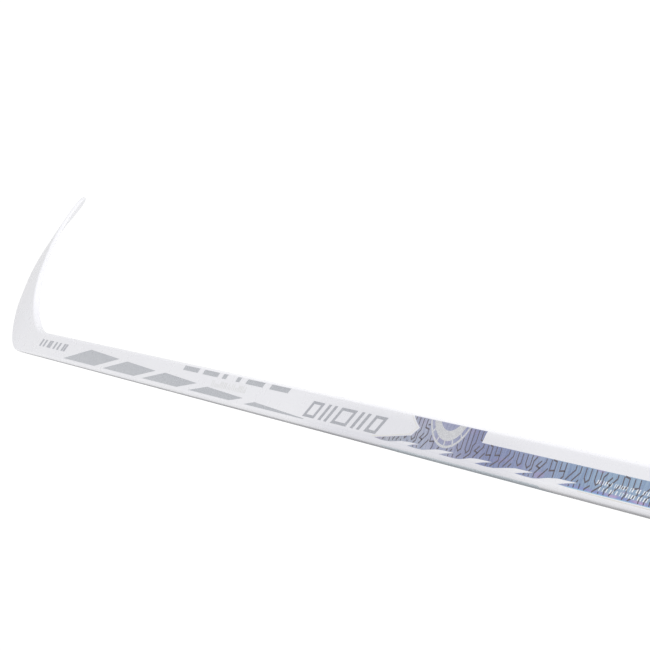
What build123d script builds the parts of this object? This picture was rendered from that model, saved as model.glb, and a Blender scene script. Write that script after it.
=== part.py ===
"""Left-handed one-piece composite ice hockey stick, standing in its playing position.

The blade rests on the ice plane Z = 0 and the shaft rises at the lie angle towards +X.
The toe points to -X, the backhand face looks to -Y and the forehand face to +Y.
The origin lies on the flat ice edge of the blade, near the heel, in the shaft's mid plane,
where the blade's curve begins.
"""
from build123d import *
import math
import os

os.makedirs("parts", exist_ok=True)

# ---------------------------------------------------------------- driving dimensions (mm, degrees)
STICK_LENGTH = 1524.0      # heel corner to butt end, along the shaft (60 in senior stick)
RISE = 45.0                # shaft angle above the ice (lie angle 135)
SHAFT_W = 30.0             # wide side of the shaft section
SHAFT_T = 20.0             # narrow side, upper shaft
THROAT_T = 14.0            # narrow side where the hosel begins
CORNER_R = 4.5             # shaft corner radius, upper shaft
THROAT_R = 4.0             # corner radius where the hosel begins
WALL = 1.8                 # shaft laminate
S_HOSEL = 120.0            # hosel / shaft seam, measured along the shaft from the heel corner
S_TAPER = 1090.0           # end of the long taper
CAP = 4.0                  # visible thickness of the butt end cap
INSERT = 62.0              # length of the butt plug's insert
HEEL_X = 40.0              # heel corner from the origin

SEAM_X = 10.0              # hosel / blade seam
TOE = 298.0                # blade length from the heel corner, along the ice
TOE_H = 20.0               # height of the foremost point of the toe
TOE_TOP = 232.0            # where the top edge starts to round down
TOE_BOT = 212.0            # where the ice edge starts to round up
SKIN = 0.9                 # blade face laminate
WRAP = 2.6                 # depth of the edge wraps
RIB = 2.0                  # thickness of the laminate rib between the foam cores
RIB_Z = 33.0               # height of the rib above the ice
HOSEL_WALL = 1.8
HEEL_R = 60.0              # rounding of the heel corner
THROAT_FILLET = 120.0      # rounding of the inner corner between shaft and blade
FOIL = 0.12                # printed foils under the clear coat
FILM = 0.12

# blade stations, measured from the heel corner along the ice
CURVE = [(-60, 0.0), (-20, -0.5), (20, -1.6), (45, -1.4), (68, 0.2), (90, 3.2), (150, 16.2), (210, 34.8), (260, 54.4),
         (310, 77.3)]       # offset of the blade's middle surface to the forehand
THICK = [(20, 9.4), (40, 9.0), (65, 7.6), (90, 6.3), (130, 5.5), (200, 5.2), (310, 5.0)]   # blade thickness
HEIGHT = [(-21, 63.4), (20, 63.8), (120, 65.2), (180, 65.0), (232, 63.8), (298, 61.5)]  # top edge above the ice

c45, s45 = math.cos(math.radians(RISE)), math.sin(math.radians(RISE))
S = Vector(c45, 0, s45)            # along the shaft, heel to butt
T = Vector(-s45, 0, c45)           # across the wide faces, towards the toe side
Y = Vector(0, 1, 0)                # forehand side


def interp(table, b):
    """Smooth cubic interpolation (Catmull-Rom) through a table of stations."""
    if b <= table[0][0]:
        return table[0][1]
    if b >= table[-1][0]:
        return table[-1][1]
    for i in range(len(table) - 1):
        if table[i][0] <= b <= table[i + 1][0]:
            break
    x0, y0 = table[i]
    x1, y1 = table[i + 1]

    def slope(k):
        if k == 0:
            return 0.0
        if k == len(table) - 1:
            return (table[k][1] - table[k - 1][1]) / (table[k][0] - table[k - 1][0])
        return (table[k + 1][1] - table[k - 1][1]) / (table[k + 1][0] - table[k - 1][0])

    h = x1 - x0
    u = (b - x0) / h
    m0, m1 = slope(i) * h, slope(i + 1) * h
    return ((2 * u**3 - 3 * u**2 + 1) * y0 + (u**3 - 2 * u**2 + u) * m0
            + (-2 * u**3 + 3 * u**2) * y1 + (u**3 - u**2) * m1)


def axis_point(s):
    """Point on the shaft's centre line, s from the heel corner."""
    return Vector(HEEL_X, 0, 0) + S * s + T * (SHAFT_W / 2)


def shaft_plane(s):
    """Section plane across the shaft: local x across the wide faces, local y to the backhand."""
    return Plane(origin=axis_point(s), x_dir=T, z_dir=S)


def half_band(side, inset):
    """Plan stations of one blade face, moved inward by inset (side -1 backhand, +1 forehand)."""
    pts = []
    for b in (20, 30, 40, 55, 70, 90, 110, 130, 150, 170, 190, 210, 230, 250, 270, 290, 310):
        y = interp(CURVE, b) + side * (interp(THICK, b) / 2 - inset)
        pts.append((HEEL_X - b, y))
    return pts


def outline_points(inset):
    """Side-view points of the toe and the top edge, from the ice edge round to the seam."""
    raw = []
    e = 2 / 2.2
    for k in range(0, 91, 9):                                   # ice edge up to the foremost point
        a = math.radians(k)
        raw.append((TOE_BOT + (TOE - TOE_BOT) * math.sin(a) ** e, TOE_H * (1 - math.cos(a) ** e)))
    for k in range(81, -1, -9):                                 # foremost point back to the top edge
        a = math.radians(k)
        b = TOE_TOP + (TOE - TOE_TOP) * math.sin(a) ** e
        raw.append((b, TOE_H + (interp(HEIGHT, b) - TOE_H) * math.cos(a) ** e))
    for b in (205, 180, 150, 120, 90, 60, 45, HEEL_X - SEAM_X):
        raw.append((b, interp(HEIGHT, b)))
    pts = []
    for i, (b, z) in enumerate(raw):
        b0, z0 = raw[max(i - 1, 0)]
        b1, z1 = raw[min(i + 1, len(raw) - 1)]
        tb, tz = b1 - b0, z1 - z0
        if i == 0:
            tb, tz = 1.0, 0.0
        if i == len(raw) - 1:
            tb, tz = -1.0, 0.0
        n = math.hypot(tb, tz)
        pts.append((HEEL_X - (b - inset * tz / n), z + inset * tb / n))
    return pts


def blade_outline(inset):
    """Closed side-view outline of the blade ahead of the seam."""
    pts = outline_points(inset)
    with BuildSketch(Plane.XZ) as outline:
        with BuildLine():
            curve = Spline(pts, tangents=[(-1, 0), (1, 0)])
            Line((SEAM_X, pts[-1][1]), (SEAM_X, inset))
            Line((SEAM_X, inset), curve @ 0)
        make_face()
    return outline.sketch


def blade_slab(side_a, inset_a, side_b, inset_b):
    """Curved upright slab between two blade surfaces, taller than the blade."""
    with BuildPart() as slab:
        with BuildSketch(Plane.XY.offset(-5)):
            with BuildLine():
                a = Spline(half_band(side_a, inset_a))
                b = Spline(half_band(side_b, inset_b))
                Line(a @ 0, b @ 0)
                Line(a @ 1, b @ 1)
            make_face()
        extrude(amount=80)
    return slab.part


def shaft_body(inset, s_end):
    """Tapered shaft form from the hosel seam to s_end, with every face moved inward by inset."""
    with BuildPart() as body:
        with BuildSketch(shaft_plane(S_HOSEL)):
            RectangleRounded(SHAFT_W - 2 * inset, THROAT_T - 2 * inset, THROAT_R - inset)
        with BuildSketch(shaft_plane(S_TAPER)):
            RectangleRounded(SHAFT_W - 2 * inset, SHAFT_T - 2 * inset, CORNER_R - inset)
        loft(ruled=True)
        with BuildSketch(shaft_plane(S_TAPER)):
            RectangleRounded(SHAFT_W - 2 * inset, SHAFT_T - 2 * inset, CORNER_R - inset)
        extrude(amount=s_end - S_TAPER)
    return body.part


def shaft_slice(s0, s1):
    """Everything between two section planes of the shaft."""
    with BuildPart() as block:
        with BuildSketch(shaft_plane(s0)):
            Rectangle(80, 80)
        extrude(amount=s1 - s0)
    return block.part


def hosel_offset(s):
    """Offset of the hosel's middle surface: the blade joins a little to the backhand side of the shaft's mid plane."""
    return interp(CURVE, HEEL_X - SEAM_X) * (1.0 if s <= 35.0 else (S_HOSEL - s) / (S_HOSEL - 35.0))


def wedge(half_blade, half_throat, s0, s1):
    """Thickness wedge of the hosel, seen along T: constant up to s = 35, then opening to the shaft."""
    grow = (half_throat - half_blade) / (S_HOSEL - 35.0)
    o0, o1 = hosel_offset(35.0), hosel_offset(s1)
    with BuildPart() as form:
        with BuildSketch(Plane(origin=(HEEL_X, 0, 0), x_dir=S, z_dir=T)):
            with BuildLine():
                Polyline((s0, o0 - half_blade), (35, o0 - half_blade), (s1, o1 - half_blade - grow * (s1 - 35)),
                         (s1, o1 + half_blade + grow * (s1 - 35)), (35, o0 + half_blade), (s0, o0 + half_blade), close=True)
            make_face()
        extrude(amount=140, both=True)
    return form.part


def hosel_outline(inset, x_seam, s_top, r_heel, r_throat):
    """Side view of the hosel: heel corner, shaft sides and the inner corner."""
    zt = interp(HEIGHT, HEEL_X - SEAM_X) - inset
    d = inset
    # heel side line: (HEEL_X, 0) + d*T + s*S ; toe side line: (HEEL_X, 0) + (SHAFT_W - d)*T + s*S
    hx, hz = HEEL_X - d * s45, d * c45
    tx, tz = HEEL_X - (SHAFT_W - d) * s45, (SHAFT_W - d) * c45
    heel = (hx + (d - hz) * c45 / s45, d)
    crook = (tx + (zt - tz) * c45 / s45, zt)
    with BuildSketch(Plane.XZ) as sk:
        with BuildLine():
            Polyline((x_seam, d), heel, (hx + s_top * c45, hz + s_top * s45),
                     (tx + s_top * c45, tz + s_top * s45), crook, (x_seam, zt), close=True)
        make_face()
        corners = sk.vertices()
        near = lambda p: min(corners, key=lambda v: (v.X - p[0]) ** 2 + (v.Z - p[1]) ** 2)
        fillet(near(heel), r_heel)
        fillet(near(crook), r_throat)
    return sk.sketch


# ---------------------------------------------------------------- shaft
outer_form = shaft_body(0.0, STICK_LENGTH - CAP)
bore_form = shaft_body(WALL, STICK_LENGTH - CAP)
with BuildPart() as shaft_tube:
    add(outer_form)
    add(bore_form, mode=Mode.SUBTRACT)
shaft_tube.part.label = "shaft_tube"
export_step(shaft_tube.part, "parts/shaft_tube.step")

# stiff tongue of the blade, glued into the lower end of the shaft
TENON_S0, TENON_S1 = 48.0, 165.0
TENON_O = hosel_offset(TENON_S0)
with BuildPart() as blade_tenon:
    with BuildSketch(Plane(origin=Vector(HEEL_X, 0, 0) + T * 3.4, x_dir=S, z_dir=T)):
        with BuildLine():
            Polyline((TENON_S0, TENON_O - 1.9), (S_HOSEL, -4.0), (TENON_S1, -4.4),
                     (TENON_S1, 4.4), (S_HOSEL, 4.0), (TENON_S0, TENON_O + 1.9), close=True)
        make_face()
    extrude(amount=23.2)
blade_tenon.part.label = "blade_tenon"
export_step(blade_tenon.part, "parts/blade_tenon.step")

# cured adhesive between the tongue and the tube wall
with BuildPart() as tenon_adhesive:
    add(bore_form)
    add(shaft_slice(S_HOSEL, TENON_S1), mode=Mode.INTERSECT)
    add(blade_tenon.part, mode=Mode.SUBTRACT)
tenon_adhesive.part.label = "tenon_adhesive"
export_step(tenon_adhesive.part, "parts/tenon_adhesive.step")

# damping foam above the tongue
with BuildPart() as taper_foam_plug:
    add(bore_form)
    add(shaft_slice(TENON_S1, 235.0), mode=Mode.INTERSECT)
taper_foam_plug.part.label = "taper_foam_plug"
export_step(taper_foam_plug.part, "parts/taper_foam_plug.step")

# ---------------------------------------------------------------- hosel
H_BLADE = interp(THICK, HEEL_X - SEAM_X) / 2
with BuildPart() as hosel_core_form:
    with BuildSketch(Plane.XZ):
        add(hosel_outline(HOSEL_WALL, SEAM_X - 30, S_HOSEL + 30, HEEL_R - HOSEL_WALL, THROAT_FILLET + HOSEL_WALL))
    extrude(amount=30, both=True)
    add(wedge(H_BLADE - HOSEL_WALL, THROAT_T / 2 - HOSEL_WALL, -90, 160), mode=Mode.INTERSECT)

with BuildPart() as hosel_shell:
    with BuildSketch(Plane.XZ):
        add(hosel_outline(0.0, SEAM_X, S_HOSEL, HEEL_R, THROAT_FILLET))
    extrude(amount=30, both=True)
    add(wedge(H_BLADE, THROAT_T / 2, -60, 130), mode=Mode.INTERSECT)
    add(hosel_core_form.part, mode=Mode.SUBTRACT)
    # ease the long outer corners towards the shaft's rounded section
    long_edges = [e for e in hosel_shell.edges().filter_by(GeomType.LINE)
                  if e.length > 30 and abs(e.tangent_at(0.5).dot(S)) > 0.95
                  and min(abs((e.center() - Vector(HEEL_X, 0, 0)).dot(T)),
                          abs((e.center() - Vector(HEEL_X, 0, 0)).dot(T) - SHAFT_W)) < 0.1]
    fillet(long_edges, 1.6)
hosel_shell.part.label = "hosel_shell"
export_step(hosel_shell.part, "parts/hosel_shell.step")

with BuildPart() as hosel_foam:
    add(hosel_core_form.part)
    with BuildSketch(Plane(origin=(SEAM_X, 0, 0), z_dir=(-1, 0, 0))):
        Rectangle(300, 300)
    extrude(amount=60, mode=Mode.SUBTRACT)
    add(shaft_slice(S_HOSEL, S_HOSEL + 80), mode=Mode.SUBTRACT)
    add(blade_tenon.part, mode=Mode.SUBTRACT)
hosel_foam.part.label = "hosel_foam"
export_step(hosel_foam.part, "parts/hosel_foam.step")

# ---------------------------------------------------------------- blade
outline_full = blade_outline(0.0)
outline_core = blade_outline(WRAP)

with BuildPart() as blade_backhand_skin:
    add(blade_slab(-1, 0.0, -1, SKIN))
    with BuildSketch(Plane.XZ):
        add(outline_full)
    extrude(amount=100, both=True, mode=Mode.INTERSECT)
blade_backhand_skin.part.label = "blade_backhand_skin"
export_step(blade_backhand_skin.part, "parts/blade_backhand_skin.step")

with BuildPart() as blade_forehand_skin:
    add(blade_slab(1, SKIN, 1, 0.0))
    with BuildSketch(Plane.XZ):
        add(outline_full)
    extrude(amount=100, both=True, mode=Mode.INTERSECT)
blade_forehand_skin.part.label = "blade_forehand_skin"
export_step(blade_forehand_skin.part, "parts/blade_forehand_skin.step")

core_slab = blade_slab(-1, SKIN, 1, SKIN)

with BuildPart() as blade_fill:
    add(core_slab)
    with BuildSketch(Plane.XZ):
        add(outline_core)
    extrude(amount=100, both=True, mode=Mode.INTERSECT)

with BuildPart() as edge_wraps:
    add(core_slab)
    with BuildSketch(Plane.XZ):
        add(outline_full)
    extrude(amount=100, both=True, mode=Mode.INTERSECT)
    with BuildSketch(Plane.XZ):
        add(outline_core)
    extrude(amount=100, both=True, mode=Mode.SUBTRACT)

TOE_SPLIT = HEEL_X - TOE_BOT          # the toe wrap starts where the ice edge rounds up


def cut_box(x0, x1, z0, z1):
    """Plain block used to divide the blade's inner pieces."""
    with BuildPart() as block:
        with BuildSketch(Plane.XY.offset(z0)):
            with Locations(((x0 + x1) / 2, 30)):
                Rectangle(x1 - x0, 200)
        extrude(amount=z1 - z0)
    return block.part


with BuildPart() as blade_top_edge_wrap:
    add(edge_wraps.part)
    add(cut_box(TOE_SPLIT, 60, 30, 90), mode=Mode.INTERSECT)
blade_top_edge_wrap.part.label = "blade_top_edge_wrap"
export_step(blade_top_edge_wrap.part, "parts/blade_top_edge_wrap.step")

with BuildPart() as blade_bottom_edge_wrap:
    add(edge_wraps.part)
    add(cut_box(TOE_SPLIT, 60, -10, 30), mode=Mode.INTERSECT)
blade_bottom_edge_wrap.part.label = "blade_bottom_edge_wrap"
export_step(blade_bottom_edge_wrap.part, "parts/blade_bottom_edge_wrap.step")

with BuildPart() as blade_toe_wrap:
    add(edge_wraps.part)
    add(cut_box(-400, TOE_SPLIT, -10, 90), mode=Mode.INTERSECT)
blade_toe_wrap.part.label = "blade_toe_wrap"
export_step(blade_toe_wrap.part, "parts/blade_toe_wrap.step")

with BuildPart() as blade_lower_core:
    add(blade_fill.part)
    add(cut_box(-400, 60, -10, RIB_Z - RIB / 2), mode=Mode.INTERSECT)
blade_lower_core.part.label = "blade_lower_core"
export_step(blade_lower_core.part, "parts/blade_lower_core.step")

with BuildPart() as blade_rib:
    add(blade_fill.part)
    add(cut_box(-400, 60, RIB_Z - RIB / 2, RIB_Z + RIB / 2), mode=Mode.INTERSECT)
blade_rib.part.label = "blade_rib"
export_step(blade_rib.part, "parts/blade_rib.step")

with BuildPart() as blade_upper_core:
    add(blade_fill.part)
    add(cut_box(-400, 60, RIB_Z + RIB / 2, 90), mode=Mode.INTERSECT)
blade_upper_core.part.label = "blade_upper_core"
export_step(blade_upper_core.part, "parts/blade_upper_core.step")

# ---------------------------------------------------------------- butt end plug
FIT = 0.20                 # running clearance of the insert in the tube, each side
END = STICK_LENGTH - CAP
with BuildPart() as butt_plug:
    with BuildSketch(shaft_plane(END)):
        RectangleRounded(SHAFT_W, SHAFT_T, CORNER_R)
    extrude(amount=CAP)
    fillet(butt_plug.faces().sort_by(Axis(axis_point(0), S))[-1].edges(), 1.5)
    with BuildSketch(shaft_plane(END)):
        RectangleRounded(SHAFT_W - 2 * (WALL + FIT), SHAFT_T - 2 * (WALL + FIT), CORNER_R - WALL - FIT)
    extrude(amount=-INSERT)
    chamfer(butt_plug.faces().sort_by(Axis(axis_point(0), S))[0].edges(), 0.8)
    with BuildSketch(shaft_plane(END - INSERT)):
        RectangleRounded(SHAFT_W - 2 * (WALL + FIT) - 3.6, SHAFT_T - 2 * (WALL + FIT) - 3.6, 1.2)
    extrude(amount=INSERT - 1.0, mode=Mode.SUBTRACT)
butt_plug.part.label = "butt_plug"
export_step(butt_plug.part, "parts/butt_plug.step")

# ---------------------------------------------------------------- printed foils and films on the wide faces
SLOPE = (SHAFT_T - THROAT_T) / 2 / (S_TAPER - S_HOSEL)      # each wide face opens by this per mm
H_ZERO = THROAT_T / 2 - SLOPE * S_HOSEL


def face_plane(side, upper=False):
    """Plane of a wide face, local x along the shaft from the heel corner, local y towards the toe side.

    side -1 is the backhand face; on the forehand face (+1) local y points to the heel side."""
    if upper:
        return Plane(origin=axis_point(0) + Y * side * SHAFT_T / 2, x_dir=S, z_dir=Y * side)
    a = math.atan(SLOPE)
    x = S * math.cos(a) + Y * side * math.sin(a)
    z = Y * side * math.cos(a) - S * math.sin(a)
    return Plane(origin=axis_point(0) + Y * side * H_ZERO, x_dir=x, z_dir=z)


# corner points as (distance from the heel corner, height across the face)
RHOMBS = [
    [(232, -10.0), (323, 6.7), (426, 3.7), (351, -10.0)],
    [(382, -10.0), (453, 3.0), (545, 0.4), (487, -10.0)],
    [(513, -10.0), (574, 0.8), (665, -1.9), (616, -10.0)],
    [(649, -10.0), (693, -2.9), (783, -5.2), (754, -10.0)],
    [(789, -10.0), (811, -6.2), (919, -9.4), (916, -10.0)],
]
BLOCKS = [(615, 664), (668, 715), (717, 736), (751, 769), (775, 823), (829, 878)]
BARS = [(914, 936), (944, 960), (968, 996), (1004, 1020), (1028, 1048)]
HEEL_TICKS = [(126, 150), (156, 180), (186, 210)]
FILM_EDGE = [
    (1099, 10.3), (1112, 4.6), (1104, -1.4), (1052, -9.2), (1076, -10.1), (1096, -6.9),
    (1119, -7.2), (1101, -9.9), (1129, -10.2), (1147, -6.9), (1170, -6.8), (1151, -9.9),
    (1178, -10.2), (1198, -6.9), (1221, -6.8), (1201, -9.9), (1229, -10.2), (1248, -6.9),
    (1272, -6.8), (1251, -9.9), (1278, -10.2), (1292, -7.4), (1323, -6.7), (1302, -9.9),
    (1330, -10.2), (1420, -10.2), (1432, 4.6), (1201, 4.3), (1202, 10.3)]


def slanted(x0, x1, y0, y1, lean):
    """Parallelogram with its upper side moved along the shaft by lean."""
    return [(x0, y0), (x1, y0), (x1 + lean, y1), (x0 + lean, y1)]


def foil(name, side, polygons, upper=False, thickness=FOIL):
    """One node of thin plates on a wide face."""
    with BuildPart() as plates:
        with BuildSketch(face_plane(side, upper)):
            for poly in polygons:
                with BuildLine():
                    Polyline([(x, y * -side) for x, y in poly], close=True)
                make_face()
        extrude(amount=thickness)
    plates.part.label = name
    export_step(plates.part, "parts/" + name + ".step")
    return plates.part


block_shapes = [slanted(a + 6, b - 2, 7.6, 10.3, -3) for a, b in BLOCKS]
bar_shapes = [slanted(a, b, -8.0, 7.0, 14) for a, b in BARS]
heel_shapes = [slanted(a, b, 0.0, 4.0, 6) for a, b in HEEL_TICKS]

foil("backhand_rhomboid_foils", -1, RHOMBS)
foil("backhand_block_foils", -1, block_shapes)
foil("backhand_bar_foils", -1, bar_shapes)
foil("backhand_heel_ticks", -1, heel_shapes)
foil("backhand_film", -1, [FILM_EDGE], upper=True, thickness=FILM)
foil("forehand_rhomboid_foils", 1, RHOMBS)
foil("forehand_bar_foils", 1, bar_shapes)
foil("forehand_film", 1, [FILM_EDGE], upper=True, thickness=FILM)
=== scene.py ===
import bpy, math, random
import numpy as np
from mathutils import Vector, Matrix


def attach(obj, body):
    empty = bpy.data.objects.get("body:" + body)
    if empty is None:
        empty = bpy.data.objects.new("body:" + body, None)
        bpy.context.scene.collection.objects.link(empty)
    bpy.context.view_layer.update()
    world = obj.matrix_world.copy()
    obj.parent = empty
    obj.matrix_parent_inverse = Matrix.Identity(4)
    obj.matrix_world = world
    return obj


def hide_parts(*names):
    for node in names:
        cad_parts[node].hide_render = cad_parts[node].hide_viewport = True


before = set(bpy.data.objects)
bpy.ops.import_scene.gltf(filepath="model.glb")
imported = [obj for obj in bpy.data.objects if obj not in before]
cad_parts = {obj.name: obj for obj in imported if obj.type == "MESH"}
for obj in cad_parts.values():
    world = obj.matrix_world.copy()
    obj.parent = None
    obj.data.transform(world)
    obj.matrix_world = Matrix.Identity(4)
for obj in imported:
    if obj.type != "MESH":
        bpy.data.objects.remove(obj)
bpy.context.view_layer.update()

MM = 0.001
C45 = math.sqrt(0.5)

# ------------------------------------------------------------------ the stick's dimensions (mm)
LENGTH = 1524.0
CAP = 4.0
W = 30.0
HEEL_X = 40.0
S_HOSEL = 120.0
S_TAPER = 1090.0
SEAM_B = 30.0
TOE, TOE_H, TOE_TOP, TOE_BOT = 298.0, 20.0, 232.0, 212.0
HEEL_R, THROAT_FILLET = 60.0, 120.0
CURVE = [(-60, 0.0), (-20, -0.5), (20, -1.6), (45, -1.4), (68, 0.2), (90, 3.2), (150, 16.2), (210, 34.8), (260, 54.4), (310, 77.3)]
THICK = [(20, 9.4), (40, 9.0), (65, 7.6), (90, 6.3), (130, 5.5), (200, 5.2), (310, 5.0)]
HEIGHT = [(-21, 63.4), (20, 63.8), (120, 65.2), (180, 65.0), (232, 63.8), (298, 61.5)]
EDGE_R = 1.7               # rounding of the blade's edges
WALL = 1.8


def interp(table, b):
    if b <= table[0][0]:
        return table[0][1]
    if b >= table[-1][0]:
        return table[-1][1]
    for i in range(len(table) - 1):
        if table[i][0] <= b <= table[i + 1][0]:
            break
    x0, y0 = table[i]
    x1, y1 = table[i + 1]

    def slope(k):
        if k == 0:
            return 0.0
        if k == len(table) - 1:
            return (table[k][1] - table[k - 1][1]) / (table[k][0] - table[k - 1][0])
        return (table[k + 1][1] - table[k - 1][1]) / (table[k + 1][0] - table[k - 1][0])

    h = x1 - x0
    u = (b - x0) / h
    m0, m1 = slope(i) * h, slope(i + 1) * h
    return ((2 * u**3 - 3 * u**2 + 1) * y0 + (u**3 - 2 * u**2 + u) * m0
            + (-2 * u**3 + 3 * u**2) * y1 + (u**3 - u**2) * m1)


def smooth(a, b, x):
    t = min(max((x - a) / (b - a), 0.0), 1.0)
    return t * t * (3 - 2 * t)


def half_shaft(s):
    """Half of the narrow dimension along the shaft, running out into the blade."""
    if s >= S_TAPER:
        return 10.0
    grow = 3.0 / (S_TAPER - S_HOSEL)
    if s >= 135.0:
        return 7.0 + (s - S_HOSEL) * grow
    if s <= 22.0:
        return 4.7
    y1 = 7.0 + 15.0 * grow
    h = 113.0
    u = (s - 22.0) / h
    m1 = grow * h
    return (2*u**3 - 3*u**2 + 1) * 4.7 + (-2*u**3 + 3*u**2) * y1 + (u**3 - u**2) * m1


def side_s(x, z):
    return (x - HEEL_X) * C45 + z * C45


def half_at(x, z):
    b = HEEL_X - x
    return interp(THICK, b) / 2 + half_shaft(side_s(x, z)) - 4.7


def radius_at(x, z):
    s = side_s(x, z)
    if s > S_HOSEL:
        return 4.0 + 0.5 * min((s - S_HOSEL) / (S_TAPER - S_HOSEL), 1.0)
    return EDGE_R + (4.0 - EDGE_R) * smooth(15.0, S_HOSEL, s)


def shaft_pt(s, t):
    """Side-view point on the shaft: s from the heel corner, t across (0 on the centre line, + to the toe side)."""
    return (HEEL_X + s * C45 - (15 + t) * C45, s * C45 + (15 + t) * C45)


# ------------------------------------------------------------------ side-view edges of the whole stick
def arc(corner, d_in, d_out, r, n):
    """Fillet between two side-view lines meeting at corner; d_in and d_out point away from it."""
    a = np.array(d_in, float); a /= np.linalg.norm(a)
    b = np.array(d_out, float); b /= np.linalg.norm(b)
    ang = math.acos(float(np.clip(a @ b, -1, 1)))
    tl = r / math.tan(ang / 2)
    p0, p1 = np.array(corner) + a * tl, np.array(corner) + b * tl
    mid = (a + b); mid /= np.linalg.norm(mid)
    cen = np.array(corner) + mid * (r / math.sin(ang / 2))
    v0, v1 = p0 - cen, p1 - cen
    a0, a1 = math.atan2(v0[1], v0[0]), math.atan2(v1[1], v1[0])
    da = (a1 - a0 + math.pi) % (2 * math.pi) - math.pi
    return [tuple(cen + r * np.array([math.cos(a0 + da * k / n), math.sin(a0 + da * k / n)])) for k in range(n + 1)]


def lines_between(p, q, n):
    return [(p[0] + (q[0] - p[0]) * k / n, p[1] + (q[1] - p[1]) * k / n) for k in range(n + 1)]


S_DIR = (C45, C45)
ZT = interp(HEIGHT, SEAM_B)
heel_corner = (HEEL_X, 0.0)
tx, tz = shaft_pt(0, 15)
crook = (tx + (ZT - tz), ZT)

heel_arc = arc(heel_corner, S_DIR, (-1, 0), HEEL_R, 24)
crook_arc = arc(crook, S_DIR, (-1, 0), THROAT_FILLET, 24)
out_start, in_start = shaft_pt(S_HOSEL, -15), shaft_pt(S_HOSEL, 15)
out_path = lines_between(out_start, heel_arc[0], 8)[:-1] + heel_arc + lines_between(heel_arc[-1], (HEEL_X - SEAM_B, 0), 3)[1:]
in_path = lines_between(in_start, crook_arc[0], 3)[:-1] + crook_arc + lines_between(crook_arc[-1], (HEEL_X - SEAM_B, ZT), 3)[1:]


def resample(path, n):
    p = np.array(path)
    d = np.concatenate([[0], np.cumsum(np.linalg.norm(np.diff(p, axis=0), axis=1))])
    t = np.linspace(0, d[-1], n + 1)
    return np.stack([np.interp(t, d, p[:, 0]), np.interp(t, d, p[:, 1])], 1)


def top_edge(b):
    h = interp(HEIGHT, b)
    if b <= TOE_TOP:
        return h
    u = min((b - TOE_TOP) / (TOE - TOE_TOP), 1.0)
    return TOE_H + (h - TOE_H) * max(1 - u ** 2.2, 0.0) ** (1 / 2.2)


def bottom_edge(b):
    if b <= TOE_BOT:
        return 0.0
    u = min((b - TOE_BOT) / (TOE - TOE_BOT), 1.0)
    return TOE_H * (1 - max(1 - u ** 2.2, 0.0) ** (1 / 2.2))


# cross lines: (outer point, inner point, zone)
rows = []
s_list = list(np.linspace(LENGTH - CAP, S_TAPER, 14)) + list(np.linspace(S_TAPER, 140, 30))[1:]
for s in s_list:
    rows.append((shaft_pt(s, -15), shaft_pt(s, 15), "shaft"))
rows.append((shaft_pt(S_HOSEL, -15), shaft_pt(S_HOSEL, 15), "shaft"))
N_BEND = 60
po, pi_ = resample(out_path, N_BEND), resample(in_path, N_BEND)
for k in range(1, N_BEND + 1):
    rows.append((tuple(po[k]), tuple(pi_[k]), "hosel"))
b_list = list(np.linspace(SEAM_B, 200, 46))[1:]
for k in range(1, 61):
    b_list.append(200 + (TOE - 0.04 - 200) * math.sin(math.radians(90 * k / 60)))
for b in b_list:
    rows.append(((HEEL_X - b, bottom_edge(b)), (HEEL_X - b, top_edge(b)), "blade"))

outer = np.array([r[0] for r in rows])
inner = np.array([r[1] for r in rows])
zone = [r[2] for r in rows]
loop = np.concatenate([outer, inner[::-1]])      # open at the butt end


def edge_distance(pts):
    a, b = loop[:-1], loop[1:]
    ab = b - a
    L2 = (ab ** 2).sum(1) + 1e-12
    out = np.empty(len(pts))
    for i, p in enumerate(pts):
        t = np.clip(((p - a) * ab).sum(1) / L2, 0, 1)
        q = a + ab * t[:, None]
        out[i] = math.sqrt(((p - q) ** 2).sum(1).min())
    return out


ARC_N, MID_N = 9, 8
cols = ARC_N + 2 + MID_N + 1 + ARC_N + 1
grid = []                                        # [row][col] -> (x, z, d)
for (o, i, z) in rows:
    o, i = np.array(o), np.array(i)
    w = float(np.linalg.norm(i - o))
    d = (i - o) / max(w, 1e-9)
    mid = (o + i) / 2
    r = radius_at(*mid)
    lim = min(r, w * 0.3)
    near = [lim * (1 - math.cos(math.radians(90 * k / ARC_N))) for k in range(ARC_N + 1)] + [lim * 1.12]
    m0, m1 = near[-1], w - near[-1]
    centre = [m0 + (m1 - m0) * k / (MID_N) for k in range(1, MID_N)]
    ts = near + centre + [w - t for t in near[::-1]]
    grid.append([o + d * t for t in ts])
grid = np.array(grid)                            # rows x cols x 2
NR, NC = grid.shape[:2]
dist = edge_distance(grid.reshape(-1, 2)).reshape(NR, NC)
dist[:, 0] = 0; dist[:, -1] = 0; dist[-1, :] = 0

front = np.zeros((NR, NC, 3))                    # forehand sheet (+Y)
back = np.zeros((NR, NC, 3))                     # backhand sheet (-Y)
for i in range(NR):
    for j in range(NC):
        x, z = grid[i, j]
        h = half_at(x, z)
        r = min(radius_at(x, z), h * 0.96)
        d = dist[i, j]
        y = h if d >= r else h - r + math.sqrt(max(r * r - (r - d) ** 2, 0.0))
        c = interp(CURVE, HEEL_X - x)
        front[i, j] = (x, c + y, z)
        back[i, j] = (x, c - y, z)

# whole outer skin, used for its smooth normals and then divided into pieces
WN = 3                                           # strips across the narrow sides
verts, vid = [], {}


def v_of(key, p):
    if key not in vid:
        vid[key] = len(verts)
        verts.append(p)
    return vid[key]


def key_of(side, i, j):
    return (side, i, j)


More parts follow.
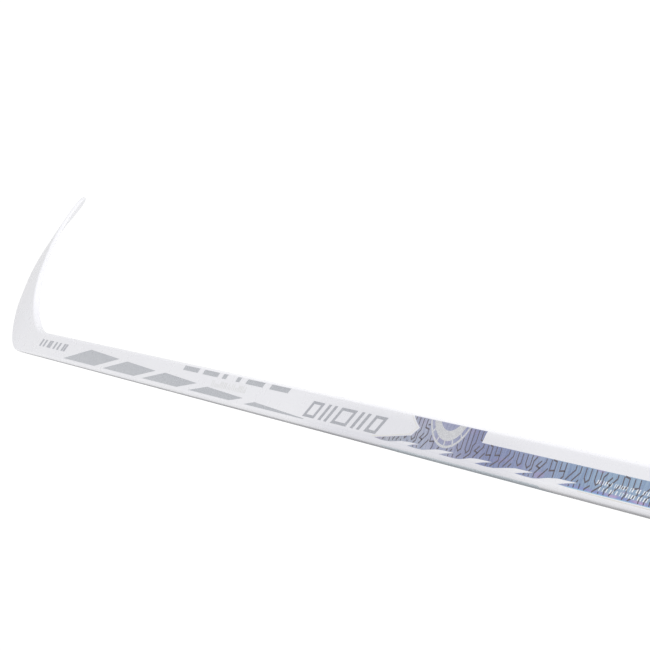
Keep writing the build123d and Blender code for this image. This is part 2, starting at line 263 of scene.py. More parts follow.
faces, tags = [], []
for i in range(NR - 1):
    for j in range(NC - 1):
        a = [v_of(("b", p, q), back[p, q]) for p, q in ((i, j), (i + 1, j), (i + 1, j + 1), (i, j + 1))]
        faces.append(a); tags.append(("back", i))
        a = [v_of(("f", p, q), front[p, q]) for p, q in ((i, j), (i, j + 1), (i + 1, j + 1), (i + 1, j))]
        faces.append(a); tags.append(("front", i))
ring = [(i, 0) for i in range(NR)] + [(NR - 1, j) for j in range(1, NC)] + [(i, NC - 1) for i in range(NR - 2, -1, -1)]


def wall_v(n, k):
    i, j = ring[n]
    if k == 0:
        return v_of(("b", i, j), back[i, j])
    if k == WN:
        return v_of(("f", i, j), front[i, j])
    return v_of(("w", n, k), back[i, j] + (front[i, j] - back[i, j]) * k / WN)


for n in range(len(ring) - 1):
    for k in range(WN):
        faces.append([wall_v(n, k), wall_v(n, k + 1), wall_v(n + 1, k + 1), wall_v(n + 1, k)])
        i0, j0 = ring[n]; i1, j1 = ring[n + 1]
        side = "out" if j0 == 0 and j1 == 0 else ("in" if j0 == NC - 1 and j1 == NC - 1 else "tip")
        tags.append((side, min(i0, i1)))

V = np.array(verts)


def face_normals(V, F):
    n = np.zeros((len(F), 3))
    for k, f in enumerate(F):
        p = V[f]
        v = np.cross(p[2] - p[0], p[3] - p[1]) if len(f) == 4 else np.cross(p[1] - p[0], p[2] - p[0])
        n[k] = v
    return n


FN = face_normals(V, faces)
# turn every face outward: test against the direction away from the middle surface
flip = 0
for k, f in enumerate(faces):
    t = tags[k][0]
    if t == "back":
        bad = FN[k][1] > 0
    elif t == "front":
        bad = FN[k][1] < 0
    else:
        cen = V[f].mean(0)
        i = tags[k][1]
        mid = (outer[i] + inner[i]) / 2
        away = np.array([cen[0] - mid[0], 0, cen[2] - mid[1]])
        if t == "tip":
            away = np.array([-1.0, 0, 0])
        bad = FN[k] @ away < 0
    if bad:
        faces[k] = f[::-1]; FN[k] = -FN[k]
VN = np.zeros_like(V)
for k, f in enumerate(faces):
    p = V[f]
    m = len(f)
    nn = FN[k] / (np.linalg.norm(FN[k]) + 1e-12)
    for q in range(m):
        a, b = p[(q + 1) % m] - p[q], p[q - 1] - p[q]
        la, lb = np.linalg.norm(a), np.linalg.norm(b)
        if la < 1e-7 or lb < 1e-7:
            continue
        ang = math.acos(float(np.clip(a @ b / la / lb, -1, 1)))
        VN[f[q]] += nn * ang
VN /= np.linalg.norm(VN, axis=1)[:, None] + 1e-12


def new_object(name, V3, F, material, normals=None, smooth_flags=None):
    """Mesh object from points in mm; normals gives one vector per face corner, or None."""
    me = bpy.data.meshes.new(name)
    me.from_pydata([tuple(v) for v in np.asarray(V3, float) * MM], [], [list(map(int, f)) for f in F])
    me.update()
    for p in me.polygons:
        p.use_smooth = True
    if smooth_flags is not None:
        for p, fl in zip(me.polygons, smooth_flags):
            p.use_smooth = bool(fl)
    if normals is not None:
        me.normals_split_custom_set([tuple(n) for n in normals])
    me.materials.append(material)
    ob = bpy.data.objects.new(name, me)
    bpy.context.scene.collection.objects.link(ob)
    return ob


def shell_piece(name, chosen, t, material):
    """A closed piece of the skin: its outer surface, an inner surface t deeper, and rims between them."""
    ids = sorted(chosen)
    used, remap, edges = [], {}, {}
    for k in ids:
        for v in faces[k]:
            if v not in remap:
                remap[v] = len(used); used.append(v)
    P = V[used]; Nn = VN[used]
    inner_p = P - Nn * t
    n = len(used)
    F, normals, flags = [], [], []
    for k in ids:
        f = [remap[v] for v in faces[k]]
        F.append(f); flags.append(True)
        for v in f:
            normals.append(Nn[v])
        for q in range(len(f)):
            e = (f[q], f[(q + 1) % len(f)])
            edges[e] = edges.get(e, 0) + 1
    for k in ids:
        f = [remap[v] + n for v in faces[k]][::-1]
        F.append(f); flags.append(True)
        for v in f:
            normals.append(-Nn[v - n])
    PP = np.concatenate([P, inner_p])
    for (a, b) in list(edges):
        if (b, a) not in edges:
            f = [b, a, a + n, b + n]
            p = PP[f]
            nn = np.cross(p[2] - p[0], p[3] - p[1])
            nn = nn / (np.linalg.norm(nn) + 1e-12)
            F.append(f); flags.append(False)
            normals += [nn] * 4
    return new_object(name, PP, F, material, normals, flags)


# ------------------------------------------------------------------ materials
class Mat:
    def __init__(self, name):
        self.m = bpy.data.materials.new(name)
        self.m.use_nodes = True
        self.nt = self.m.node_tree
        self.bsdf = self.nt.nodes["Principled BSDF"]
        tc = self.nt.nodes.new("ShaderNodeTexCoord")
        rot = self.nt.nodes.new("ShaderNodeMapping")
        rot.inputs["Rotation"].default_value = (0, math.radians(45), 0)
        self.nt.links.new(tc.outputs["Object"], rot.inputs["Vector"])
        self.obj = tc.outputs["Object"]
        self.along = rot.outputs["Vector"]       # x along the shaft, y through it, z across it

    def node(self, kind, **kw):
        n = self.nt.nodes.new(kind)
        for k, v in kw.items():
            setattr(n, k, v)
        return n

    def link(self, a, b):
        self.nt.links.new(a, b)

    def set(self, **kw):
        for k, v in kw.items():
            self.bsdf.inputs[k.replace("_", " ")].default_value = v

    def noise(self, scale, detail=3.0, rough=0.5, stretch=None, along=True, distortion=0.0):
        n = self.node("ShaderNodeTexNoise")
        n.inputs["Scale"].default_value = scale
        n.inputs["Detail"].default_value = detail
        n.inputs["Roughness"].default_value = rough
        n.inputs["Distortion"].default_value = distortion
        src = self.along if along else self.obj
        if stretch:
            mp = self.node("ShaderNodeMapping")
            mp.inputs["Scale"].default_value = stretch
            self.link(src, mp.inputs["Vector"])
            src = mp.outputs["Vector"]
        self.link(src, n.inputs["Vector"])
        return n.outputs["Fac"]

    def voronoi(self, scale, feature="F1", stretch=None, out="Distance"):
        n = self.node("ShaderNodeTexVoronoi", feature=feature)
        n.inputs["Scale"].default_value = scale
        src = self.along
        if stretch:
            mp = self.node("ShaderNodeMapping")
            mp.inputs["Scale"].default_value = stretch
            self.link(src, mp.inputs["Vector"])
            src = mp.outputs["Vector"]
        self.link(src, n.inputs["Vector"])
        return n.outputs[out]

    def ramp(self, fac, stops, interpolation="LINEAR"):
        n = self.node("ShaderNodeValToRGB")
        n.color_ramp.interpolation = interpolation
        el = n.color_ramp.elements
        while len(el) < len(stops):
            el.new(0.5)
        for e, (pos, col) in zip(el, stops):
            e.position = pos
            e.color = (*col, 1) if len(col) == 3 else col
        self.link(fac, n.inputs["Fac"])
        return n.outputs["Color"]

    def mix(self, fac, a, b, blend="MIX"):
        n = self.node("ShaderNodeMix", data_type="RGBA", blend_type=blend)
        for sock, v in ((n.inputs["Factor"], fac), (n.inputs["A"], a), (n.inputs["B"], b)):
            if isinstance(v, (int, float)):
                sock.default_value = v
            elif isinstance(v, tuple):
                sock.default_value = (*v, 1)
            else:
                self.link(v, sock)
        for o in n.outputs:
            if o.type == "RGBA":
                return o
        return n.outputs[2]

    def math(self, op, a, b=None, c=None, clamp=False):
        n = self.node("ShaderNodeMath", operation=op, use_clamp=clamp)
        for k, v in enumerate((a, b, c)):
            if v is None:
                continue
            if isinstance(v, (int, float)):
                n.inputs[k].default_value = v
            else:
                self.link(v, n.inputs[k])
        return n.outputs[0]

    def range(self, v, lo, hi, to_lo=0.0, to_hi=1.0, kind="SMOOTHSTEP"):
        n = self.node("ShaderNodeMapRange", interpolation_type=kind)
        n.inputs["From Min"].default_value = lo
        n.inputs["From Max"].default_value = hi
        n.inputs["To Min"].default_value = to_lo
        n.inputs["To Max"].default_value = to_hi
        self.link(v, n.inputs["Value"])
        return n.outputs["Result"]

    def axes(self):
        n = self.node("ShaderNodeSeparateXYZ")
        self.link(self.along, n.inputs["Vector"])
        return n.outputs["X"], n.outputs["Y"], n.outputs["Z"]

    def bump(self, height, strength, distance, chain=None):
        n = self.node("ShaderNodeBump")
        n.inputs["Strength"].default_value = strength
        n.inputs["Distance"].default_value = distance
        self.link(height, n.inputs["Height"])
        if chain is not None:
            self.link(chain, n.inputs["Normal"])
        return n.outputs["Normal"]

    def done(self, color=None, rough=None, normal=None):
        if color is not None:
            self.link(color, self.bsdf.inputs["Base Color"])
        if rough is not None:
            self.link(rough, self.bsdf.inputs["Roughness"])
        if normal is not None:
            self.link(normal, self.bsdf.inputs["Normal"])
        return self.m


def lacquer(name, base, weave=0.0, painted_shade=False):
    """White lacquer over woven laminate: slow colour drift, fine pigment speckle, orange peel, ghost of the weave, and
    optionally a painted shade band darkening the face around the colour film, most along its lower edge.
    """
    m = Mat(name)
    m.set(IOR=1.48, Coat_Weight=0.35, Coat_Roughness=0.08)
    r, g, b = base
    drift = m.ramp(m.noise(9, 3, 0.6), [
        (0.25, (r * 0.988, g * 0.984, b * 0.995)), (0.55, (r, g, b)), (0.8, (min(r * 1.012, 1), min(g * 1.008, 1), min(b * 1.0, 1)))])
    speck = m.ramp(m.noise(1500, 2, 0.6), [(0.3, (0.990, 0.990, 0.992)), (0.6, (1, 1, 1))])
    col = m.mix(1.0, drift, speck, "MULTIPLY")
    x, y, z = m.axes()
    if painted_shade:                                      # painted shade: the face around the colour film is darkened below its top strip, and darker still along its lower (heel-side) edge, where less light falls
        s, t = m.math("SUBTRACT", x, 0.04 * C45), m.math("ADD", z, 0.04 * C45 - 0.015)
        shade_span = m.math("MULTIPLY", m.range(s, 0.88, 1.0), m.range(s, 1.20, 1.29, 1, 0))
        col = m.mix(m.math("MULTIPLY", shade_span, m.range(t, 0.013, 0.006, 0, 1.0)), col, (r * 0.93, g * 0.93, b * 0.94))
        col = m.mix(m.math("MULTIPLY", shade_span, m.range(t, -0.0085, -0.0105)), col, (r * 0.87, g * 0.87, b * 0.895))
    if weave:
        wx = m.math("SINE", m.math("MULTIPLY", m.math("ADD", x, z), 2 * math.pi / 0.0021))
        wz = m.math("SINE", m.math("MULTIPLY", m.math("SUBTRACT", x, z), 2 * math.pi / 0.0021))
        wv = m.math("MULTIPLY", wx, wz)
        cells = m.range(wv, -1, 1, 1 - 0.010 * weave, 1.0, "LINEAR")
        n = m.node("ShaderNodeCombineColor")
        for s_ in ("Red", "Green", "Blue"):
            m.link(cells, n.inputs[s_])
        col = m.mix(1.0, col, n.outputs["Color"], "MULTIPLY")
    rough = m.range(m.noise(60, 4, 0.6), 0.3, 0.7, 0.26, 0.36)
    nrm = m.bump(m.noise(220, 2, 0.5), 0.02, 0.00003)
    if weave:
        nrm = m.bump(wv, 0.03 * weave, 0.00002, nrm)
    scratch = m.noise(70, 5, 0.7, stretch=(0.06, 1, 1))
    nrm = m.bump(scratch, 0.012, 0.00004, nrm)
    return m.done(col, rough, nrm)


def silver(name, base=(0.50, 0.515, 0.55), rough0=0.34):
    m = Mat(name)
    m.set(Metallic=0.35, IOR=1.5, Coat_Weight=0.3, Coat_Roughness=0.12)
    r, g, b = base
    flake = m.voronoi(2100, out="Color")
    sep = m.node("ShaderNodeSeparateColor")
    m.link(flake, sep.inputs["Color"])
    col = m.ramp(sep.outputs["Red"], [(0.0, (r * 0.86, g * 0.86, b * 0.87)), (0.45, (r * 0.97, g * 0.97, b * 0.97)),
                                      (0.8, (r * 1.05, g * 1.05, b * 1.05)), (1.0, (r * 1.3, g * 1.3, b * 1.27))])
    streak = m.ramp(m.noise(110, 4, 0.6, stretch=(0.12, 1, 1)), [(0.3, (0.93, 0.935, 0.95)), (0.7, (1, 1, 1))])
    col = m.mix(1.0, col, streak, "MULTIPLY")
    rough = m.range(sep.outputs["Green"], 0, 1, rough0 - 0.08, rough0 + 0.12, "LINEAR")
    nrm = m.bump(sep.outputs["Blue"], 0.10, 0.00004)
    return m.done(col, rough, nrm)


def film(name):
    """Foil that shifts from blue-violet to pink and cyan with place along the shaft."""
    m = Mat(name)
    m.set(Metallic=0.25, IOR=1.5, Coat_Weight=0.5, Coat_Roughness=0.06)
    x, y, z = m.axes()
    s0, t0 = 0.04 * C45, 0.04 * C45 - 0.015        # row frame to shaft coordinates
    s = m.math("SUBTRACT", x, s0)
    t = m.math("ADD", z, t0)
    warp = m.noise(14, 3, 0.55)
    band = m.math("ADD", m.math("MULTIPLY", s, 19.0), m.math("MULTIPLY", warp, 1.4))
    band = m.math("ADD", band, m.math("MULTIPLY", t, 22.0))
    wave = m.math("ADD", m.math("MULTIPLY", m.math("SINE", band), 0.5), 0.5)
    body = m.ramp(wave, [(0.0, (0.315, 0.343, 0.658)), (0.35, (0.364, 0.42, 0.70)), (0.7, (0.378, 0.483, 0.742)), (1.0, (0.42, 0.56, 0.784))])
    cool = m.ramp(m.range(s, 1.04, 1.42, 0, 1, "LINEAR"), [
        (0.02, (0.92, 0.68, 0.60)), (0.12, (1.02, 0.84, 0.68)), (0.21, (1.12, 1.02, 0.82)), (0.36, (0.99, 0.96, 0.78)), (0.474, (0.74, 0.79, 0.71)),
        (0.618, (0.87, 0.89, 0.80)), (0.724, (0.735, 0.76, 0.75)), (1.0, (0.79, 0.81, 0.79))])
    col = m.mix(1.0, body, cool, "MULTIPLY")
    lines = m.ramp(m.noise(900, 1, 0.4, stretch=(1, 0.05, 0.05)), [(0.38, (0.84, 0.85, 0.90)), (0.62, (1.08, 1.07, 1.03))])
    col = m.mix(1.0, col, lines, "MULTIPLY")
    pink = m.ramp(m.noise(120, 1, 0.4, stretch=(0.5, 1, 1.6)), [(0.62, (0, 0, 0)), (0.67, (1, 1, 1))])
    pinkf = m.math("MULTIPLY", pink, m.range(s, 1.22, 1.33, 0.3, 1.0))
    col = m.mix(m.math("MULTIPLY", pinkf, 0.42), col, (0.47, 0.30, 0.56))
    low = m.math("MULTIPLY", m.range(s, 1.29, 1.34), m.range(t, -0.0072, -0.0092))
    vivid = m.ramp(m.noise(150, 1, 0.4, stretch=(0.5, 1, 1)), [(0.45, (0.27, 0.30, 0.64)), (0.58, (0.50, 0.37, 0.64))])
    col = m.mix(m.math("MULTIPLY", low, 0.85), col, vivid)
    edge = m.math("MULTIPLY", m.range(s, 1.29, 1.33), m.range(t, -0.00965, -0.00995))
    col = m.mix(m.math("MULTIPLY", edge, 0.55), col, (0.36, 0.74, 0.86))
    rough = m.range(m.noise(300, 3, 0.6), 0.3, 0.7, 0.24, 0.4)
    nrm = m.bump(m.noise(700, 2, 0.5, stretch=(1, 0.2, 0.2)), 0.06, 0.00005)
    return m.done(col, rough, nrm)


def ink(name, base, vary=0.2, rough0=0.45, coat=0.2):
    m = Mat(name)
    m.set(IOR=1.5, Coat_Weight=coat, Coat_Roughness=0.1)
    r, g, b = base
    k = 1 - vary
    col = m.ramp(m.noise(1300, 3, 0.6), [(0.3, (r * k, g * k, b * k)), (0.55, base), (0.75, (min(r * (1 + vary * 0.5), 1), min(g * (1 + vary * 0.5), 1), min(b * (1 + vary * 0.5), 1)))])
    rough = m.range(m.noise(400, 2, 0.5), 0.3, 0.7, rough0 - 0.08, rough0 + 0.1)
    nrm = m.bump(m.noise(1800, 2, 0.5), 0.08, 0.00003)
    return m.done(col, rough, nrm)


def plastic(name, base, rough0=0.48):
    m = Mat(name)
    m.set(IOR=1.46)
    r, g, b = base
    col = m.ramp(m.noise(240, 5, 0.65), [(0.3, (r * 0.86, g * 0.86, b * 0.86)), (0.6, base), (0.85, (r * 1.18, g * 1.18, b * 1.18))])
    rough = m.range(m.noise(900, 3, 0.6), 0.3, 0.7, rough0 - 0.07, rough0 + 0.12)
    nrm = m.bump(m.noise(1500, 3, 0.6), 0.25, 0.00008)
    return m.done(col, rough, nrm)


def carbon(name):
    """Woven carbon in resin, two sets of tows crossing at 45 degrees to the shaft."""
    m = Mat(name)
    m.set(IOR=1.5, Coat_Weight=0.6, Coat_Roughness=0.1)
    x, y, z = m.axes()
    k = 2 * math.pi / 0.0042
    a = m.math("SINE", m.math("MULTIPLY", m.math("ADD", x, z), k))
    b = m.math("SINE", m.math("MULTIPLY", m.math("SUBTRACT", x, z), k))
    cell = m.math("GREATER_THAN", m.math("MULTIPLY", a, b), 0.0)
    fibre = m.noise(3000, 2, 0.6, stretch=(1, 0.1, 0.1))
    c1 = m.ramp(fibre, [(0.3, (0.012, 0.012, 0.013)), (0.7, (0.03, 0.03, 0.032))])
    c2 = m.ramp(fibre, [(0.3, (0.022, 0.022, 0.024)), (0.7, (0.055, 0.055, 0.06))])
    col = m.mix(cell, c1, c2)
    rough = m.range(fibre, 0.3, 0.7, 0.25, 0.42)
    nrm = m.bump(m.math("MULTIPLY", a, b), 0.2, 0.0001)
    return m.done(col, rough, nrm)


def foam(name, base):
    m = Mat(name)
    m.set(IOR=1.4)
    r, g, b = base
    cells = m.voronoi(1300)
    col = m.ramp(cells, [(0.0, (r * 0.6, g * 0.6, b * 0.58)), (0.35, base), (0.9, (min(r * 1.1, 1), min(g * 1.1, 1), min(b * 1.1, 1)))])
    rough = m.range(cells, 0, 0.8, 0.7, 0.95)
    nrm = m.bump(cells, 0.5, 0.0003)
    return m.done(col, rough, nrm)


def epoxy(name):
    m = Mat(name)
    m.set(IOR=1.52, Coat_Weight=0.4, Coat_Roughness=0.08)
    col = m.ramp(m.noise(160, 4, 0.6), [(0.3, (0.42, 0.33, 0.17)), (0.6, (0.55, 0.45, 0.26)), (0.8, (0.66, 0.57, 0.36))])
    rough = m.range(m.voronoi(600), 0, 0.8, 0.15, 0.35)
    nrm = m.bump(m.noise(500, 3, 0.6), 0.2, 0.0002)
    return m.done(col, rough, nrm)


WHITE = (0.80, 0.80, 0.835)
# the shaft's lacquer carries painted shade around the colour film
m_shaft = lacquer("lacquered_shaft", WHITE, weave=0.6, painted_shade=True)
m_hosel = lacquer("lacquered_hosel", WHITE, weave=0.3)
m_blade = lacquer("lacquered_blade", WHITE, weave=0.9)
m_edge = lacquer("lacquered_edge", (0.81, 0.81, 0.84), weave=0.2)
m_silver = silver("silver_foil")
m_strip = silver("silver_strip", (0.60, 0.65, 0.70), 0.5)
m_mark = silver("grey_mark", (0.45, 0.46, 0.50), 0.42)
m_film = film("iridescent_film")
m_dark = ink("dark_print", (0.115, 0.10, 0.12))
m_white_ink = ink("white_print", (0.76, 0.79, 0.83), 0.06)
m_faint = ink("faint_print", (0.66, 0.665, 0.655), 0.05)
m_ring = silver("ring_print", (0.67, 0.675, 0.70), 0.4)
m_cream = ink("cream_line", (0.70, 0.685, 0.64), 0.06)
m_plug = plastic("moulded_plug", (0.055, 0.056, 0.06))
m_carbon = carbon("carbon_laminate")
m_foam = foam("foam_core", (0.72, 0.66, 0.48))
m_epoxy = epoxy("epoxy_bond")

# ------------------------------------------------------------------ the skin's pieces
row_zone = []
for i in range(NR - 1):
    row_zone.append(zone[i + 1] if zone[i] != zone[i + 1] else zone[i])
row_zone.append("blade")
wrap_face = set()
for k, (tg, i) in enumerate(tags):
    if row_zone[i] == "blade" and tg in ("back", "front"):
        q = faces[k]
        p = V[q].mean(0)
        near = edge_distance(np.array([[p[0], p[2]]]))[0]
        if near < EDGE_R * 1.25:
            wrap_face.add(k)


def pick_zone(z):
    return lambda k: row_zone[tags[k][1]] == z


def blade_wrap(k):
    return row_zone[tags[k][1]] == "blade" and (k in wrap_face or tags[k][0] in ("out", "in", "tip"))


def face_mid(k):
    return V[faces[k]].mean(0)


def top_wrap(k):
    return blade_wrap(k) and HEEL_X - face_mid(k)[0] < 236 and face_mid(k)[2] > 32


def ice_wrap(k):
    return blade_wrap(k) and HEEL_X - face_mid(k)[0] < 216 and face_mid(k)[2] <= 32


def toe_wrap(k):
    return blade_wrap(k) and not top_wrap(k) and not ice_wrap(k)


def build_piece(name, test, t, material, slot, *nodes):
    chosen = {k for k in range(len(faces)) if test(k)}
    ob = shell_piece(name, chosen, t, material)
    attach(ob, "stick")
    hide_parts(*nodes)
    return ob


shaft_ob = build_piece("shaft_lacquered_tube", pick_zone("shaft"), WALL, m_shaft, "white_laminate", "shaft_tube")
hosel_ob = build_piece("hosel_lacquered_shell", pick_zone("hosel"), 1.5, m_hosel, "white_laminate", "hosel_shell")
build_piece("blade_backhand_laminate", lambda k: row_zone[tags[k][1]] == "blade" and tags[k][0] == "back" and k not in wrap_face, 0.9, m_blade,
            "white_laminate", "blade_backhand_skin")
build_piece("blade_forehand_laminate", lambda k: row_zone[tags[k][1]] == "blade" and tags[k][0] == "front" and k not in wrap_face, 0.9, m_blade,
            "white_laminate", "blade_forehand_skin")
build_piece("blade_top_edge_band", top_wrap, 0.85, m_edge, "white_laminate", "blade_top_edge_wrap")
build_piece("blade_ice_edge_band", ice_wrap, 0.85, m_edge, "white_laminate", "blade_bottom_edge_wrap")
build_piece("blade_toe_band", toe_wrap, 0.85, m_edge, "white_laminate", "blade_toe_wrap")

# ------------------------------------------------------------------ graphics laid on the shaft
def cross(s, q, side):
    """Point of the shaft's cross-section an arc length q from the middle of a broad face: (across, through, normal)."""
    h = half_shaft(s)
    r = min(4.0 + 0.5 * min(max(s - S_HOSEL, 0) / (S_TAPER - S_HOSEL), 1.0), h)
    a, sg = abs(q), (1 if q >= 0 else -1)
    flat, quarter = 15 - r, r * math.pi / 2
    if a <= flat:
        t, y, nt, ny = a, h, 0.0, 1.0
    elif a <= flat + quarter:
        f = (a - flat) / r
        t, y, nt, ny = flat + r * math.sin(f), h - r + r * math.cos(f), math.sin(f), math.cos(f)
    elif a <= flat + quarter + 2 * (h - r):
        t, y, nt, ny = 15.0, h - r - (a - flat - quarter), 1.0, 0.0
    else:
        f = min((a - flat - quarter - 2 * (h - r)) / r, math.pi / 2)
        t, y, nt, ny = flat + r * math.cos(f), -(h - r) - r * math.sin(f), math.cos(f), -math.sin(f)
    return sg * t, side * y, sg * nt, side * ny


def on_shaft(s, q, side, lift):
    t, y, nt, ny = cross(s, q, side)
    x, z = shaft_pt(s, t + nt * lift)
    return (x, y + ny * lift, z), (-nt * C45, ny, nt * C45)


from mathutils.geometry import tessellate_polygon
import bmesh

Q_CUTS = [sg * (10.4 + 0.5 * k) for sg in (-1, 1) for k in range(0, 17)] + [sg * (18.5 + 10.5) for sg in (-1, 1)] \
    + [sg * (28.6 + 0.55 * k) for sg in (-1, 1) for k in range(0, 14)]
S_CUTS = [122.0, 128.0, 134.0, 140.0] + [200.0 + 100 * k for k in range(9)] + [1090.0, 1150.0, 1200.0, 1250.0, 1300.0, 1350.0, 1400.0, 1450.0]


def decal(name, polys, side, lift, material, nodes=(), base=-0.03, holes=None):
    """Thin closed pieces lying on the shaft; polys are outlines in (s, q)."""
    bm = bmesh.new()
    for n, poly in enumerate(polys):
        if poly[0] == "band":
            lv = [bm.verts.new((a, b, 0)) for a, b in poly[1]]
            rv = [bm.verts.new((a, b, 0)) for a, b in poly[2]]
            for k in range(len(lv) - 1):
                bm.faces.new((lv[k], rv[k], rv[k + 1], lv[k + 1]))
            continue
        loops = [[Vector((a, b, 0)) for a, b in poly]]
        if holes and holes[n]:
            loops += [[Vector((a, b, 0)) for a, b in h] for h in holes[n]]
        flat_pts = [p for l in loops for p in l]
        vs = [bm.verts.new(p) for p in flat_pts]
        for tri in tessellate_polygon(loops):
            try:
                bm.faces.new([vs[k] for k in tri])
            except ValueError:
                pass
    lo_q, hi_q = min(v.co.y for v in bm.verts), max(v.co.y for v in bm.verts)
    lo_s, hi_s = min(v.co.x for v in bm.verts), max(v.co.x for v in bm.verts)
    for q in Q_CUTS:
        if lo_q < q < hi_q:
            bmesh.ops.bisect_plane(bm, geom=bm.verts[:] + bm.edges[:] + bm.faces[:], dist=0.0005, plane_co=(0, q, 0), plane_no=(0, 1, 0))
    for s in S_CUTS:
        if lo_s < s < hi_s:
            bmesh.ops.bisect_plane(bm, geom=bm.verts[:] + bm.edges[:] + bm.faces[:], dist=0.0005, plane_co=(s, 0, 0), plane_no=(1, 0, 0))
    bm.normal_update()
    for f in bm.faces:
        if f.normal.z < 0:
            f.normal_flip()
    bm.verts.index_update()
    n = len(bm.verts)
    top, low, nr = [], [], []
    for v in bm.verts:
        p, nn = on_shaft(v.co.x, v.co.y, side, lift)
        q, _ = on_shaft(v.co.x, v.co.y, side, base)
        top.append(p); low.append(q); nr.append(nn)
    F, normals, flags = [], [], []
    edges = {}
    rev = side > 0
    for f in bm.faces:
        ids = [v.index for v in f.verts]
        if rev:
            ids = ids[::-1]
        F.append(ids); flags.append(True)
        normals += [nr[k] for k in ids]
        for a, b in zip(ids, ids[1:] + ids[:1]):
            edges[(a, b)] = True
    for f in list(F):
        ids = [k + n for k in f][::-1]
        F.append(ids); flags.append(True)
        normals += [tuple(-c for c in nr[k - n]) for k in ids]
    P = np.array(top + low)
    for (a, b) in list(edges):
        if (b, a) not in edges:
            f = [b, a, a + n, b + n]
            p = P[f]
            nn = np.cross(p[2] - p[0], p[3] - p[1])
            nn = nn / (np.linalg.norm(nn) + 1e-12)
            F.append(f); flags.append(False)
            normals += [tuple(nn)] * 4
    bm.free()
    # outward check on the first top face
    p = P[F[0]]
    fn = np.cross(p[1] - p[0], p[2] - p[0])
    if fn @ np.array(nr[F[0][0]]) < 0:
        F = [f[::-1] for f in F]
        out, pos = [], 0
        for f in F:
            out += normals[pos:pos + len(f)][::-1]
            pos += len(f)
        normals = out
    ob = new_object(name, P, F, material, normals, flags)
    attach(ob, "stick")
    if nodes:
        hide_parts(*nodes)
    return ob


def inside(poly, x, y):
    c = False
    for (x0, y0), (x1, y1) in zip(poly, poly[1:] + poly[:1]):
        if (y0 > y) != (y1 > y) and x < (x1 - x0) * (y - y0) / (y1 - y0) + x0:
            c = not c
    return c


def ribbon(points, width):
    """Mitred band following points, as its left and right borders."""
    pts = [np.array(p, float) for p in points]
    L, R = [], []
    for k, p in enumerate(pts):
        d0 = pts[k] - pts[k - 1] if k else pts[1] - pts[0]
        d1 = pts[k + 1] - pts[k] if k < len(pts) - 1 else pts[-1] - pts[-2]
        d0, d1 = d0 / np.linalg.norm(d0), d1 / np.linalg.norm(d1)
        n0, n1 = np.array([-d0[1], d0[0]]), np.array([-d1[1], d1[0]])
        m = n0 + n1
        m = m / max(m @ m, 0.5) * 2
        L.append(tuple(p + m * width / 2)); R.append(tuple(p - m * width / 2))
    return ("band", L, R)


def band_outline(b):
    return b[1] + b[2][::-1]


def clipped(path, keep, step=0.3):
    """Runs of a path for which keep(x, y) holds."""
    dense = []
    for a, b in zip(path, path[1:]):
        n = max(int(math.dist(a, b) / step), 1)
        dense += [(a[0] + (b[0] - a[0]) * k / n, a[1] + (b[1] - a[1]) * k / n) for k in range(n)]
    dense.append(path[-1])
    runs, cur = [], []
    for p in dense + [None]:
        if p is not None and keep(*p):
            cur.append(p)
            continue
        if len(cur) > 3:
            slim = [cur[0]]
            for a, b, c in zip(cur, cur[1:], cur[2:]):
                if abs((b[0] - a[0]) * (c[1] - b[1]) - (b[1] - a[1]) * (c[0] - b[0])) > 1e-6:
                    slim.append(b)
            runs.append(slim + [cur[-1]])
        cur = []
    return runs


def slanted(x0, x1, y0, y1, lean):
    return [(x0, y0), (x1, y0), (x1 + lean, y1), (x0 + lean, y1)]


RHOMBS = [
    [(232, -10), (323, 6.7), (426, 3.7), (351, -10)],
    [(382, -10), (453, 3.0), (545, 0.4), (487, -10)],
    [(513, -10), (574, 0.8), (665, -1.9), (616, -10)],
    [(649, -10), (693, -2.9), (783, -5.2), (754, -10)],
    [(789, -10), (811, -6.2), (919, -9.4), (916, -10)],
]
BLOCKS = [(615, 664), (668, 715), (717, 736), (751, 769), (775, 823), (829, 878)]
BARS = [(914, 936), (944, 960), (968, 996), (1004, 1020), (1028, 1048)]
FILM_EDGE = [
    (1098, 12.5), (1104, 8.6), (1112, 4.5), (1103, -2.2), (1085, -4.7), (1068, -7.1), (1048, -9.8), (1060, -10.5), (1071, -10.3), (1081, -9.2),
    (1092, -7.7), (1101, -7.2), (1109, -7.1), (1119, -7.0), (1110, -8.2), (1102, -9.9), (1109, -10.3), (1116, -10.4), (1125, -10.2), (1133, -9.2),
    (1143, -7.7), (1151, -7.1), (1160, -7.0), (1170, -6.9), (1160, -8.4), (1150, -10.2), (1157, -10.4), (1166, -10.5), (1173, -10.5), (1180, -10.0),
    (1193, -7.6), (1202, -6.9), (1212, -6.8), (1222, -6.8), (1210, -8.4), (1200, -10.2), (1208, -10.5), (1217, -10.5), (1225, -10.2), (1232, -9.3),
    (1243, -7.8), (1251, -6.9), (1261, -6.8), (1273, -6.8), (1262, -8.4), (1252, -10.1), (1263, -10.4), (1274, -10.4), (1281, -9.6),
    (1290, -7.9), (1301, -6.7), (1312, -6.6), (1324, -6.5), (1313, -8.2), (1303, -10.0), (1314, -10.4), (1338, -10.4), (1372, -10.3), (1420, -10.2),
    (1432, 4.6), (1340, 4.4), (1201, 4.2), (1203, 12.6),
]
